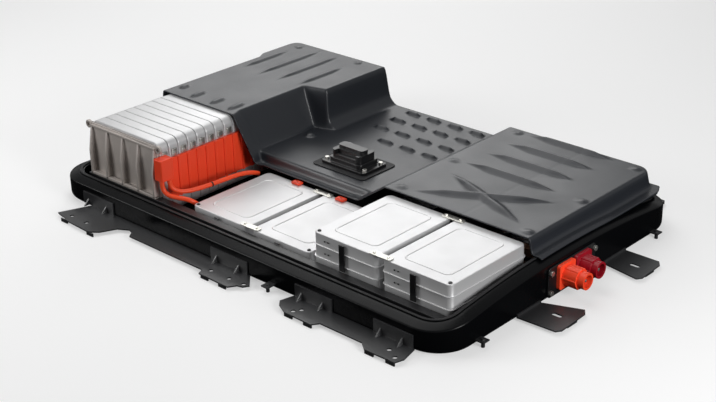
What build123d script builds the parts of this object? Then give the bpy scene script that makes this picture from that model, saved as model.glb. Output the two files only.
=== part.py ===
from build123d import *
import math
import os

os.makedirs("parts", exist_ok=True)

# Drive battery pack: a shallow pressed steel case holds one upright stack of flat cell modules across
# its rear, and four flat stacks on each side of a central tunnel. A pressed cover closes it. The cover
# is cut away along the near side so that the modules show.
# Frame: +X to the connector end, -Y to the cut-away side, +Z up, origin under the middle of the pack.

# ---- driving dimensions, millimetres ----
CASE_REAR = -813.0        # rear face of the lower case
CASE_FRONT = 690.0        # front face of the lower case
CASE_WIDTH = 1022.0
CASE_RADIUS = 105.0       # plan radius of the case corners
CASE_DEPTH = 66.0         # height of the wall up to the shoulder
CASE_GAUGE = 4.0
SHOULDER_INSET = 26.0     # the shoulder slopes in and up from the wall to the sealing land
SHOULDER_RISE = 10.0
LAND_WIDTH = 18.0
FLOOR_EDGE = 12.0
CROWN = 39.5              # how far the front rim rises at its middle, over the connectors
CORNER_STEPS = 8
FRONT_STEPS = 10

SEAL_WIDTH = 8.0
SEAL_HEIGHT = 3.0
SEAT_GAP = 1.1            # air above and below the seal

MODULE_LENGTH = 303.0
MODULE_WIDTH = 227.0
MODULE_THICK = 35.0
MODULE_GAP = 0.3          # air between neighbouring modules
MODULE_CORNER = 10.0
PANEL_MARGIN = 24.0       # border round the pressed panel of a module's lid
PANEL_RAISE = 1.2
STACK_BASE = 10.0         # height of the rails that the modules stand on
TUNNEL_WIDTH = 224.0      # free width between near and far flat stacks
STACK_PITCH = 238.0
STACK_A_REAR = -309.0     # rear face of the rearmost flat stack
LOW_COUNT = 2
HIGH_COUNT = 4

REAR_COUNT = 24
REAR_FRONT = -425.0       # front face of the upright modules
REAR_HEIGHT = 223.0
END_PLATE = 25.0

COVER_GAUGE = 4.0
HUMP_TOP = 240.0
HUMP_REAR = -752.0
HUMP_FRONT = -418.0
HUMP_FRONT_FAR = -345.0   # the hump steps forward beyond the jog
HUMP_JOG = 170.0
HUMP_SLOPE = 45.0         # run of the hump's sloping front face
TUNNEL_TOP = 117.0
LEDGE_TOP = 94.0
LEDGE_EDGE = -85.0
PLATEAU_TOP = 165.0
PLATEAU_REAR = 148.0
PLATEAU_FRONT = 640.0
COVER_HALF = 456.0        # half width of the cover at its top
DRAFT = 12.0              # how far the cover's walls spread towards the rim
CUT_REAR = -140.0         # the cut runs here over the upright stack
CUT_FRONT = -112.0        # and here over the flat stacks

BRACKET_GAUGE = 4.0
EAR_DROP = 8.0

# ---- values worked out from them ----
HALF = CASE_WIDTH / 2
RIM_TOP = CASE_DEPTH + SHOULDER_RISE
LAND_INNER = SHOULDER_INSET + LAND_WIDTH
FLAT_NEAR = -TUNNEL_WIDTH / 2 - MODULE_LENGTH
STACK_REARS = [STACK_A_REAR + i * STACK_PITCH for i in range(4)]
STACK_COUNTS = [LOW_COUNT, LOW_COUNT, HIGH_COUNT, HIGH_COUNT]
REAR_BACK = REAR_FRONT - MODULE_LENGTH
REAR_HALF = REAR_COUNT * MODULE_THICK / 2
REAR_TOP = STACK_BASE + REAR_HEIGHT
SEAL_INSET = SHOULDER_INSET + (LAND_WIDTH - SEAL_WIDTH) / 2
SEAL_LOW = RIM_TOP + SEAT_GAP
SEAL_HIGH = SEAL_LOW + SEAL_HEIGHT
FLANGE_LOW = SEAL_HIGH + SEAT_GAP

shapes = {}


def block(x0, x1, y0, y1, z0, z1):
    """A box between opposite corners."""
    return Pos((x0 + x1) / 2, (y0 + y1) / 2, (z0 + z1) / 2) * Box(x1 - x0, y1 - y0, z1 - z0)


def frustum(low, high, z0, z1):
    """A drafted block between two rectangles, each given as (x0, x1, y0, y1)."""
    faces = []
    for (x0, x1, y0, y1), z in ((low, z0), (high, z1)):
        face = Pos((x0 + x1) / 2, (y0 + y1) / 2, z) * Rectangle(x1 - x0, y1 - y0)
        faces.append(face)
    return loft(faces, ruled=True)


def tube(start, end, radius):
    """A straight round bar between two points."""
    axis = Vector(*end) - Vector(*start)
    return extrude(Plane(origin=start, z_dir=axis) * Circle(radius), amount=axis.length)


# ---- the rim: stations round the case outline, each with its outward normal and rise ----
def rise_at(y):
    """Height that the crowned front rim gains at y."""
    return CROWN * (1 - (y / HALF) ** 2)


def stations():
    """Points round the outline, from the middle of the rear and counter-clockwise."""
    cx0, cx1, cy = CASE_REAR + CASE_RADIUS, CASE_FRONT - CASE_RADIUS, HALF - CASE_RADIUS
    result = []
    corners = [(cx0, -cy, 180), (cx1, -cy, 270), (cx1, cy, 0), (cx0, cy, 90)]
    for number, (cx, cy_, start) in enumerate(corners):
        for step in range(CORNER_STEPS + 1):
            angle = math.radians(start + 90 * step / CORNER_STEPS)
            n = (math.cos(angle), math.sin(angle))
            y = cy_ + CASE_RADIUS * n[1]
            share = max(n[0], 0.0) ** 2
            result.append((cx + CASE_RADIUS * n[0], y, n, rise_at(y) * share))
        if number == 1:
            for step in range(1, FRONT_STEPS):
                y = -cy + 2 * cy * step / FRONT_STEPS
                result.append((CASE_FRONT, y, (1.0, 0.0), rise_at(y)))
    return result


def rim_point(station, inset, z, follow):
    x, y, n, rise = station
    return Vector(x - inset * n[0], y - inset * n[1], z + follow * rise)


def rim(section):
    """A closed ring whose section is a list of (inset, z, share of the front rise)."""
    ring = stations()
    count = len(ring)
    corners = [[rim_point(s, *p) for p in section] for s in ring]
    faces = []
    for i in range(count):
        here, there = corners[i], corners[(i + 1) % count]
        for k in range(len(section)):
            m = (k + 1) % len(section)
            for trio in ((here[k], there[k], there[m]), (here[k], there[m], here[m])):
                faces.append(Face(Wire.make_polygon(trio, close=True)))
    return Solid(Shell(faces))


def plan(inset):
    """The case outline as a face, moved in by inset."""
    points = [rim_point(s, inset, 0, 0) for s in stations()]
    return Face(Wire.make_polygon(points, close=True))


# ---- lower case: floor, wall, sloped shoulder and sealing land, pressed from one sheet ----
def make_lower_case():
    g = CASE_GAUGE
    wall = rim([(0, FLOOR_EDGE, 0), (0, CASE_DEPTH, 1), (SHOULDER_INSET, RIM_TOP, 1),
                (LAND_INNER, RIM_TOP, 1), (LAND_INNER, RIM_TOP - g, 1), (SHOULDER_INSET, RIM_TOP - g, 1),
                (g, CASE_DEPTH - g, 1), (g, FLOOR_EDGE, 0)])
    low = plan(FLOOR_EDGE)
    high = Pos(0, 0, FLOOR_EDGE) * plan(0)
    tray = loft([low, high], ruled=True)
    tray -= Pos(0, 0, g) * extrude(plan(FLOOR_EDGE), amount=FLOOR_EDGE)
    case = wall + tray
    return case


def make_seal():
    a, b = SEAL_INSET, SEAL_INSET + SEAL_WIDTH
    return rim([(a, SEAL_LOW, 1), (a, SEAL_HIGH, 1), (b, SEAL_HIGH, 1), (b, SEAL_LOW, 1)])


# ---- cell modules ----
def module_can(length_x, length_y, raised):
    """A sealed flat can, thin along Z, with cut corners and a pressed lid panel."""
    c, t = MODULE_CORNER, MODULE_THICK - MODULE_GAP
    can = extrude(RectangleRounded(length_x, length_y, c), amount=t)
    if raised:
        panel = RectangleRounded(length_x - 2 * PANEL_MARGIN, length_y - 2 * PANEL_MARGIN, c)
        can += Pos(0, 0, t) * extrude(panel, amount=PANEL_RAISE, taper=45)
    return can


def flat_stack(rear, side, count):
    """Modules lying on each other; side is -1 near and 1 far."""
    x = rear + MODULE_WIDTH / 2
    y = side * (TUNNEL_WIDTH + MODULE_LENGTH) / 2
    cans = []
    for level in range(count):
        z = STACK_BASE + level * MODULE_THICK
        cans.append(Pos(x, y, z) * module_can(MODULE_WIDTH, MODULE_LENGTH, level == count - 1))
    return Compound(children=cans)


def rear_stack(first, last):
    """Modules standing on edge side by side across the case."""
    cans = []
    upright = Rot(X=90) * module_can(MODULE_LENGTH, REAR_HEIGHT, False)
    for i in range(first, last):
        y = -REAR_HALF + (i + 1) * MODULE_THICK - MODULE_GAP / 2
        cans.append(Pos((REAR_BACK + REAR_FRONT) / 2, y, STACK_BASE + REAR_HEIGHT / 2) * upright)
    return Compound(children=cans)


# ---- end plates of the upright stack: ribbed castings with an ear at each top corner ----
RIB_COUNT = 5
RIB_WIDTH = 9.0
RIB_DEPTH = 16.0
EAR_RADIUS = 11.0
EAR_HOLE = 5.0
EAR_REACH = 6.0           # ear centres stand this far outside the stack


def make_end_plate(side):
    web = END_PLATE - RIB_DEPTH
    inner = side * (REAR_HALF + MODULE_GAP)
    outer = side * (REAR_HALF + END_PLATE)
    webs = sorted((inner, inner + side * web))
    full = sorted((inner, outer))
    x0, x1 = REAR_BACK + 8, REAR_FRONT - 8
    plate = block(REAR_BACK + 2, REAR_FRONT - 2, webs[0], webs[1], RAIL_TOP, REAR_TOP - 6)
    pitch = (x1 - x0 - RIB_WIDTH) / (RIB_COUNT - 1)
    for i in range(RIB_COUNT):
        x = x0 + i * pitch
        plate += block(x, x + RIB_WIDTH, full[0], full[1], RAIL_TOP + 14, REAR_TOP - 12)
    plate += block(x0, x1, full[0], full[1], RAIL_TOP, RAIL_TOP + 14)
    plate += block(x0, x1, full[0], full[1], REAR_TOP - 18, REAR_TOP - 6)
    for i in range(RIB_COUNT - 1):
        x = x0 + (i + 0.5) * pitch + RIB_WIDTH / 2
        plate -= block(x - 16, x + 16, full[0] - 1, full[1] + 1, RAIL_TOP - 1, RAIL_TOP + 7)
    middle = inner + side * web / 2
    for x in (REAR_BACK - EAR_REACH, REAR_FRONT + EAR_REACH):
        ear = Plane(origin=(x, middle, EAR_HEIGHT), z_dir=(0, 1, 0)) * Circle(EAR_RADIUS)
        ear = extrude(ear, amount=web / 2, both=True)
        hole = Plane(origin=(x, middle, EAR_HEIGHT), z_dir=(0, 1, 0)) * Circle(EAR_HOLE)
        plate = plate + ear - extrude(hole, amount=web, both=True)
    return plate


# ---- rails that carry the stacks ----
RAIL_WIDTH = 26.0
RAIL_TOP = 70.0
EAR_HEIGHT = REAR_TOP - 14
RAIL_GAUGE = 3.0


def make_side_rail(side):
    """A folded channel along the inside of the case, open to the middle."""
    outer = side * (REAR_HALF + RAIL_WIDTH)
    y0, y1 = sorted((outer, side * REAR_HALF))
    x0, x1 = REAR_BACK - 6, STACK_REARS[3] + MODULE_WIDTH - 4
    rail = block(x0, x1, y0, y1, CASE_GAUGE, RAIL_TOP)
    a, b = sorted((outer - side * RAIL_GAUGE, side * (REAR_HALF - 1)))
    rail -= block(x0 - 1, x1 + 1, a, b, CASE_GAUGE + RAIL_GAUGE, RAIL_TOP - RAIL_GAUGE)
    return rail


def make_cross_rails():
    """Flat strips across the floor, two under each row of stacks."""
    strips = []
    half = REAR_HALF - 10
    for rear in STACK_REARS:
        for offset in (30.0, MODULE_WIDTH - 60.0):
            x = rear + offset
            strips.append(block(x, x + 30, -half, half, CASE_GAUGE, STACK_BASE))
    for offset in (40.0, MODULE_LENGTH - 70.0):
        x = REAR_BACK + offset
        strips.append(block(x, x + 30, -half, half, CASE_GAUGE, STACK_BASE))
    return Compound(children=strips)


# ---- busbar covers and leads at the near front corner of the upright stack ----
COMB_DEPTH = 10.0
COMB_RIB = 4.0
COMB_PITCH = MODULE_THICK
COMB_LOW = 60.0
COMB_HIGH = 182.0


def make_busbar_cover():
    """Ribbed orange cover over the terminals on the front face of the upright stack."""
    x0 = REAR_FRONT + MODULE_GAP
    y0, y1 = -REAR_HALF + 20, REAR_HALF - 20
    cover = block(x0, x0 + COMB_DEPTH, y0, y1, COMB_LOW, COMB_HIGH)
    count = int((y1 - y0) / COMB_PITCH)
    for i in range(count + 1):
        y = y0 + i * COMB_PITCH
        cover += block(x0 + COMB_DEPTH, x0 + COMB_DEPTH + COMB_RIB, y, min(y + 8, y1), COMB_LOW, COMB_HIGH)
    return cover


def make_terminal_cover():
    """Boxed cover over the pack terminal, in front of the near end plate."""
    x0 = REAR_FRONT + MODULE_GAP
    y0 = -REAR_HALF - END_PLATE
    box = block(x0, x0 + 34, y0, -REAR_HALF + 20 - MODULE_GAP, 132, 196)
    return fillet(box.edges().filter_by(Axis.Z), 5)


LEAD_RADIUS = 5.0


def lead(points, name):
    """A cable along straight runs joined by tangent arcs."""
    radii = []
    vectors = [Vector(*p) for p in points]
    for a, b, c in zip(vectors, vectors[1:], vectors[2:]):
        turn = math.radians((b - a).get_angle(c - b))
        radii.append(0.45 * min((b - a).length, (c - b).length) / math.tan(turn / 2))
    path = FilletPolyline(*vectors, radius=radii)
    section = Plane(origin=vectors[0], z_dir=vectors[1] - vectors[0]) * Circle(LEAD_RADIUS)
    solid = sweep(section, path)
    expected = math.pi * LEAD_RADIUS ** 2 * path.length
    print(name, "radii", [round(r) for r in radii], "length", round(path.length),
          "volume ratio", round(solid.volume / expected, 4))
    return solid


LOWER_LEAD = [(-406, -434, 131.5), (-406, -435, 112), (-400, -432, 94), (-382, -426, 86),
              (-356, -416, 84), (-330, -400, 86)]
UPPER_LEAD = [(-394, -418, 131.5), (-393, -417, 114), (-386, -408, 99), (-372, -392, 92),
              (-362, -362, 90), (-354, -322, 90), (-350, -278, 90), (-349, -230, 90)]

# ---- terminal strips, tie plates and studs of the flat stacks ----
STRIP_WIDTH = 18.0
STRIP_DEPTH = 4.0
TIE_SIZE = (70.0, 26.0)
TIE_GAUGE = 3.0
STUD_RADIUS = 4.0


def make_terminal_strips(side):
    """A moulded strip up the outer end of each flat stack."""
    strips = []
    for rear, count in zip(STACK_REARS, STACK_COUNTS):
        x = rear + MODULE_WIDTH * 0.44
        face = side * (-FLAT_NEAR + MODULE_GAP)
        y0, y1 = sorted((face, face + side * STRIP_DEPTH))
        z0 = RAIL_TOP + MODULE_GAP
        top = STACK_BASE + count * MODULE_THICK - 6
        strips.append(block(x, x + STRIP_WIDTH, y0, y1, z0, top))
    return Compound(children=strips)


def make_tie_plates(side):
    """Plates that join the stacks of a pair across their gap, near the outer ends."""
    plates = []
    for first in (0, 2):
        x = STACK_REARS[first + 1] - (STACK_PITCH - MODULE_WIDTH) / 2
        z = STACK_BASE + STACK_COUNTS[first] * MODULE_THICK
        for y in (side * (-FLAT_NEAR - 11), side * (TUNNEL_WIDTH / 2 + 11)):
            plate = extrude(RectangleRounded(TIE_SIZE[0], 20, 6), amount=TIE_GAUGE)
            for dx in (-TIE_SIZE[0] / 2 + 12, TIE_SIZE[0] / 2 - 12):
                plate += Pos(dx, 0, TIE_GAUGE) * extrude(RegularPolygon(STUD_RADIUS, 6), amount=3)
            plates.append(Pos(x, y, z) * plate)
    return Compound(children=plates)


# ---- cover ----
def cover_form(t):
    """The pressed form, with every wall moved in by t."""
    base = RIM_TOP - 10
    side = COVER_HALF + DRAFT - t
    top = COVER_HALF - t
    foot_rear = HUMP_REAR - DRAFT * 1.4 + t
    inside = HUMP_JOG + 100
    hump = frustum((foot_rear, HUMP_FRONT + HUMP_SLOPE - t, -side, inside),
                   (HUMP_REAR + t, HUMP_FRONT - t, -top, inside), base, HUMP_TOP - t)
    far = frustum((foot_rear, HUMP_FRONT_FAR - t, HUMP_JOG + t, side),
                  (HUMP_REAR + t, HUMP_FRONT_FAR - t, HUMP_JOG + t, top), base, HUMP_TOP - t)
    tunnel = block(HUMP_FRONT - 30, PLATEAU_REAR - 50, LEDGE_EDGE + t, COVER_HALF + DRAFT / 2 - t,
                   base, TUNNEL_TOP - t)
    ledge = block(HUMP_FRONT - 30, PLATEAU_REAR - 60, -side, COVER_HALF + DRAFT / 2 - t,
                  base, LEDGE_TOP - t)
    rise = (PLATEAU_TOP - base) / (PLATEAU_TOP - LEDGE_TOP)
    foot = PLATEAU_REAR - 102 * rise
    plateau = frustum((foot + t, PLATEAU_FRONT + DRAFT - t, -side, side),
                      (PLATEAU_REAR + t / 2, PLATEAU_FRONT - t, -top, top), base, PLATEAU_TOP - t)
    return hump + far + tunnel + ledge + plateau


def cut_away():
    """Everything nearer than the cut, up to the sky."""
    far_out = -HALF - 50
    edge = [(CASE_REAR - 50, CUT_REAR), (HUMP_FRONT + 8, CUT_REAR), (HUMP_FRONT + 90, CUT_FRONT),
            (CASE_FRONT + 50, CUT_FRONT), (CASE_FRONT + 50, far_out), (CASE_REAR - 50, far_out)]
    return extrude(make_face(Polyline(*edge, close=True)), amount=400)


def ridge(x0, y0, x1, y1, width, height, surface):
    """A pressed lozenge with a crest, from one tip to the other, standing on a flat surface."""
    start, end = Vector(x0, y0, surface - 1), Vector(x1, y1, surface - 1)
    along = (end - start)
    across = Vector(-along.Y, along.X, 0).normalized() * (width / 2)
    first, last = start + along * 0.3, start + along * 0.7
    crest = [start + along * 0.22 + Vector(0, 0, height + 1), start + along * 0.78 + Vector(0, 0, height + 1)]
    foot = [start, first - across, last - across, end, last + across, first + across]
    loops = [foot, [foot[0], foot[1], crest[0]], [foot[1], foot[2], crest[1]], [foot[1], crest[1], crest[0]],
             [foot[2], foot[3], crest[1]], [foot[3], foot[4], crest[1]], [foot[4], foot[5], crest[0]],
             [foot[4], crest[0], crest[1]], [foot[5], foot[0], crest[0]]]
    return Solid(Shell([Face(Wire.make_polygon(loop, close=True)) for loop in loops]))


RIB_HEIGHT = 7.0
STRAKE_HEIGHT = 6.0
DART_HEIGHT = 5.0
DIMPLE_RADIUS = 9.0
DIMPLE_HEIGHT = 2.5
PLATEAU_RIBS = [(222, 435, 524, 435), (213, 343, 521, 343), (212, 251, 521, 251), (212, 158, 521, 158)]
CROSS_ARMS = [(223, -84, 566, 104), (224, 75, 569, -60)]
STRAKES = [(-700, 157, -700, 370), (-616, 132, -616, 446), (-533, 134, -533, 446), (-450, 156, -450, 369),
           (-705, -100, -705, -58), (-622, -130, -622, -61), (-535, -130, -535, -62), (-458, -130, -458, -53)]
DARTS = [(x, y) for y in (206, 283, 360, 430) for x in (-250, -165, -80, 5)][1:]
PLATEAU_DIMPLES = [(186, -84), (182, 147), (196, 425), (612, -84), (611, 153), (604, 425)]
HUMP_DIMPLES = [(-444, 424), (-699, 413)]


def pressings():
    """Every stiffening form pressed up out of the cover's top surfaces."""
    forms = [ridge(*line, 36, RIB_HEIGHT, PLATEAU_TOP) for line in PLATEAU_RIBS]
    forms += [ridge(*line, 40, RIB_HEIGHT, PLATEAU_TOP) for line in CROSS_ARMS]
    forms += [ridge(*line, 26, STRAKE_HEIGHT, HUMP_TOP) for line in STRAKES]
    forms += [ridge(x, y, x + 62, y, 30, DART_HEIGHT, TUNNEL_TOP) for x, y in DARTS]
    spots = [(x, y, PLATEAU_TOP) for x, y in PLATEAU_DIMPLES] + [(x, y, HUMP_TOP) for x, y in HUMP_DIMPLES]
    forms += [Pos(x, y, z) * extrude(RegularPolygon(DIMPLE_RADIUS, 8), amount=DIMPLE_HEIGHT)
              for x, y, z in spots]
    forms.append(Pos(-346, 101, TUNNEL_TOP) * extrude(RegularPolygon(14, 10), amount=8))
    return forms


FLANGE_OUTER = 14.0
FLANGE_INNER = 52.0


def make_upper_cover():
    shell = cover_form(0) - cover_form(COVER_GAUGE)
    low, high = FLANGE_LOW, FLANGE_LOW + COVER_GAUGE
    flange = rim([(FLANGE_OUTER, low, 1), (FLANGE_OUTER, high, 1), (FLANGE_INNER, high, 1),
                  (FLANGE_INNER, low, 1)])
    # what lies under the flange's own level, which the front rim lifts, is trimmed away
    under = rim([(0, 0, 0), (0, low, 1), (FLANGE_INNER + 40, low, 1), (FLANGE_INNER + 40, 0, 0)])
    shell -= under
    shell -= extrude(plan(60), amount=RIM_TOP + SEAL_HEIGHT)
    cover = shell + flange
    for form in pressings():
        cover += form
    cover -= cut_away()
    return cover


# ---- service plug on the tunnel ----
PLUG_X, PLUG_Y = -93.0, 24.0


def make_plug_seal():
    return Pos(PLUG_X, PLUG_Y, TUNNEL_TOP) * extrude(RectangleRounded(204, 146, 14), amount=3)


def make_plug_base():
    z = TUNNEL_TOP + 3
    base = Pos(PLUG_X, PLUG_Y, z) * extrude(RectangleRounded(170, 104, 12), amount=8)
    base += Pos(PLUG_X, PLUG_Y, z) * extrude(RectangleRounded(124, 84, 14), amount=22)
    return base


def make_service_plug():
    z = TUNNEL_TOP + 3 + 22
    plug = Pos(PLUG_X, PLUG_Y, z) * extrude(RectangleRounded(112, 72, 14), amount=22)
    handle = Pos(PLUG_X, PLUG_Y, z + 22) * extrude(RectangleRounded(96, 30, 10), amount=10)
    plug -= block(PLUG_X - 40, PLUG_X + 40, PLUG_Y - 50, PLUG_Y - 22, z + 10, z + 40)
    plug -= block(PLUG_X - 40, PLUG_X + 40, PLUG_Y + 22, PLUG_Y + 50, z + 10, z + 40)
    return plug + handle


def make_plug_bolts():
    z = TUNNEL_TOP + 3 + 8
    bolts = []
    for dx, dy in ((-74, -34), (74, -34), (-74, 34), (74, 34)):
        bolts.append(Pos(PLUG_X + dx, PLUG_Y + dy, z) * extrude(RegularPolygon(7, 6), amount=6))
    return Compound(children=bolts)


# ---- connectors on the front wall ----
PLATE_GAUGE = 5.0
PLATE_FACE = CASE_FRONT + PLATE_GAUGE
CONNECTOR_Z = 58.0
SOCKET_RADIUS = 17.0
SOCKET_DEPTH = 24.0


def wall_plane(y, z, x=PLATE_FACE):
    return Plane(origin=(x, y, z), x_dir=(0, 1, 0), z_dir=(1, 0, 0))


def make_connector_plate():
    plate = wall_plane(-4, CONNECTOR_Z - 6, CASE_FRONT) * RectangleRounded(206, 84, 10)
    return extrude(plate, amount=PLATE_GAUGE)


def make_connector(y, reach):
    """A socket with a square flange, a round barrel and a bored mouth."""
    body = extrude(wall_plane(y, CONNECTOR_Z) * RectangleRounded(68, 68, 8), amount=10)
    body += extrude(wall_plane(y, CONNECTOR_Z) * Circle(27), amount=reach * 0.72)
    body += extrude(wall_plane(y, CONNECTOR_Z) * Circle(23), amount=reach)
    for angle in range(0, 360, 60):
        a = math.radians(angle)
        body += extrude(wall_plane(y + 26 * math.cos(a), CONNECTOR_Z + 26 * math.sin(a))
                        * Circle(3), amount=reach * 0.72)
    body -= extrude(wall_plane(y, CONNECTOR_Z, PLATE_FACE + reach - SOCKET_DEPTH) * Circle(SOCKET_RADIUS), amount=40)
    return body


def make_connector_bolts():
    bolts = []
    for y in (-98, 92):
        for z in (CONNECTOR_Z - 34, CONNECTOR_Z + 22):
            bolts.append(extrude(wall_plane(y, z) * RegularPolygon(8, 6), amount=7))
    return Compound(children=bolts)


# ---- mounting brackets: folded plates fixed to the case wall ----
BRACKET_Z = EAR_DROP
BRACKET_HOLE = 6.5


def make_side_bracket(side, outline, flange, holes, ears):
    """Plate outline and holes are given for the near side as distances out from the case."""
    def place(points):
        return [(x, side * (HALF + d)) for x, d in points]
    z = BRACKET_Z
    plate = extrude(make_face(Polyline(*place(outline), close=True)), amount=BRACKET_GAUGE)
    bracket = Pos(0, 0, z) * plate
    y0, y1 = sorted((side * HALF, side * (HALF + BRACKET_GAUGE)))
    for x0, x1 in flange:
        bracket += block(x0, x1, y0, y1, FLOOR_EDGE, 48)
        for x in (x0 + 26, x1 - 30):
            a, b = sorted((side * HALF, side * (HALF + 26)))
            gusset = Plane(origin=(x, side * HALF, FLOOR_EDGE), x_dir=(0, side, 0),
                           z_dir=(side, 0, 0)) * make_face(Polyline((0, 0), (22, 0), (0, 22), close=True))
            bracket += extrude(gusset, amount=4)
    for x, d in ears:
        bracket += block(x - 14, x + 14, *sorted((side * (HALF + d - 4), side * (HALF + d))), 0, z + 2)
    for x, d in holes:
        bracket -= Pos(x, side * (HALF + d), z - 1) * extrude(Circle(BRACKET_HOLE), amount=20)
    return bracket


REAR_BRACKET = [(-640, 0), (-679, 96), (-665, 100), (-634, 104), (-628, 112), (-510, 118), (-484, 98),
                (-462, 52), (-430, 34), (-412, 40), (-398, 60), (-92, 60), (-84, 80), (30, 82),
                (44, 60), (60, 56), (70, 40), (30, 0)]
REAR_FLANGES = [(-677, -539), (-120, 22)]
REAR_HOLES = [(-628, 84), (-560, 84), (-70, 48), (0, 48), (52, 44)]
REAR_EARS = [(-630, 112), (-504, 118), (-62, 81), (8, 82)]
FRONT_BRACKET = [(196, 0), (186, 44), (200, 60), (236, 78), (330, 80), (344, 60), (484, 60), (510, 80),
                 (604, 78), (612, 52), (600, 0)]
FRONT_FLANGES = [(200, 330), (470, 596)]
FRONT_HOLES = [(262, 42), (556, 42), (250, 60), (590, 60)]
FRONT_EARS = [(250, 79), (318, 80), (524, 80), (590, 79)]


def make_front_bracket(y0, y1, tip0, tip1, reach):
    """Tongue that runs forward from under the front wall."""
    z = BRACKET_Z
    outline = [(CASE_FRONT, y0), (CASE_FRONT + reach - 10, tip0), (CASE_FRONT + reach, tip0 + 14),
               (CASE_FRONT + reach - 4, tip1 - 16), (CASE_FRONT + reach - 16, tip1), (CASE_FRONT, y1)]
    bracket = Pos(0, 0, z) * extrude(make_face(Polyline(*outline, close=True)), amount=BRACKET_GAUGE)
    bracket += block(CASE_FRONT, CASE_FRONT + BRACKET_GAUGE, y0, y1, FLOOR_EDGE, 19)
    middle = (tip0 + tip1) / 2
    bracket += block(CASE_FRONT + reach - 22, CASE_FRONT + reach - 6, middle - 20, middle + 20, 0, z + 1)
    bracket -= Pos(CASE_FRONT + 70, middle, z - 1) * extrude(SlotOverall(30, 13), amount=10)
    return bracket


FRONT_REACH = 123.0


# ---- small pieces and what lies inside the tunnel ----
def make_locating_pins():
    pins = []
    for x, y in ((114, -HALF - 17), (114, HALF + 17)):
        pin = block(x - 12, x + 12, *sorted((math.copysign(HALF, y), math.copysign(HALF + 30, y))), 16, 20)
        pin += Pos(x, y, 0) * extrude(Circle(5), amount=24)
        pins.append(pin)
    for y in (-383, 383):
        pin = block(CASE_FRONT, CASE_FRONT + 26, y - 12, y + 12, 16, 20)
        pin += Pos(CASE_FRONT + 15, y, 0) * extrude(Circle(5), amount=24)
        pins.append(pin)
    return Compound(children=pins)


def make_junction_box():
    box = block(-190, 40, -80, 80, STACK_BASE, 104)
    box = fillet(box.edges().filter_by(Axis.Z), 8)
    for y in (-40, 0, 40):
        box += block(-180, 30, y - 3, y + 3, 104, 108)
    return box


def make_controller():
    box = block(200, 378, -90, 90, STACK_BASE, 60)
    box = fillet(box.edges().filter_by(Axis.Z), 6)
    return box


def make_battery_posts():
    posts = []
    for y in (-60, 60):
        posts.append(block(380, 640, y - 12, y + 12, STACK_BASE, 34))
    return Compound(children=posts)


shapes["lower_case"] = make_lower_case()
shapes["case_seal"] = make_seal()
shapes["upper_cover"] = make_upper_cover()
for label, side in (("near", -1), ("far", 1)):
    shapes[label + "_side_rail"] = make_side_rail(side)
    shapes[label + "_end_plate"] = make_end_plate(side)
    for letter, rear, count in zip("abcd", STACK_REARS, STACK_COUNTS):
        shapes[label + "_stack_" + letter] = flat_stack(rear, side, count)
    shapes[label + "_terminal_strips"] = make_terminal_strips(side)
    shapes[label + "_tie_plates"] = make_tie_plates(side)
    shapes[label + "_rear_bracket"] = make_side_bracket(side, REAR_BRACKET, REAR_FLANGES, REAR_HOLES, REAR_EARS)
    shapes[label + "_front_bracket"] = make_side_bracket(side, FRONT_BRACKET, FRONT_FLANGES, FRONT_HOLES,
                                                         FRONT_EARS)
shapes["cross_rails"] = make_cross_rails()
OPEN_COUNT = 8
shapes["rear_modules_open"] = rear_stack(0, OPEN_COUNT)
shapes["rear_modules_covered"] = rear_stack(OPEN_COUNT, REAR_COUNT)
shapes["busbar_cover"] = make_busbar_cover()
shapes["terminal_cover"] = make_terminal_cover()
shapes["lower_lead"] = lead(LOWER_LEAD, "lower_lead")
shapes["upper_lead"] = lead(UPPER_LEAD, "upper_lead")
shapes["plug_seal"] = make_plug_seal()
shapes["plug_base"] = make_plug_base()
shapes["service_plug"] = make_service_plug()
shapes["plug_bolts"] = make_plug_bolts()
shapes["connector_plate"] = make_connector_plate()
shapes["orange_connector"] = make_connector(-38.5, 72)
shapes["red_connector"] = make_connector(33.5, 62)
shapes["connector_bolts"] = make_connector_bolts()
shapes["front_near_tongue"] = make_front_bracket(-232, -134, -226, -92, FRONT_REACH)
shapes["front_far_tongue"] = make_front_bracket(148, 250, 130, 250, FRONT_REACH)
shapes["locating_pins"] = make_locating_pins()
shapes["junction_box"] = make_junction_box()
shapes["battery_controller"] = make_controller()
shapes["front_busbars"] = make_battery_posts()

for name, shape in shapes.items():
    export_step(shape, os.path.join("parts", name + ".step"))
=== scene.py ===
import logging
import math
from dataclasses import dataclass, field
from enum import Enum

import bmesh
import bpy
import numpy as np
from mathutils import Matrix, Vector


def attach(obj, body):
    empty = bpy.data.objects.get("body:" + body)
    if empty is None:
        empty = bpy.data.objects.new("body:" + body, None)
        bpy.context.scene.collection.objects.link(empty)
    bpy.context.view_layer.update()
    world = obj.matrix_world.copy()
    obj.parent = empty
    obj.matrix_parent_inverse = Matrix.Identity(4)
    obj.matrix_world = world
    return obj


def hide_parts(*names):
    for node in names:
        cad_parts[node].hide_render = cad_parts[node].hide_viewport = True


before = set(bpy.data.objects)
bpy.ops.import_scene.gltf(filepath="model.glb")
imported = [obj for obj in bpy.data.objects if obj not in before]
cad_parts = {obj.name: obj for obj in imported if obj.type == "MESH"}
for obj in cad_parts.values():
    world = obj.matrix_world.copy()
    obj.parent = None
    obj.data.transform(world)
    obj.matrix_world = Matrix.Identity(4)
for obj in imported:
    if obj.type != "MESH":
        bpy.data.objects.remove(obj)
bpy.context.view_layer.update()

BODY = "root"
MM = 0.001
TINY = 1e-6
LOG = logging.getLogger("battery_pack")

Triple = tuple[float, float, float]
Array = np.ndarray


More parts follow.
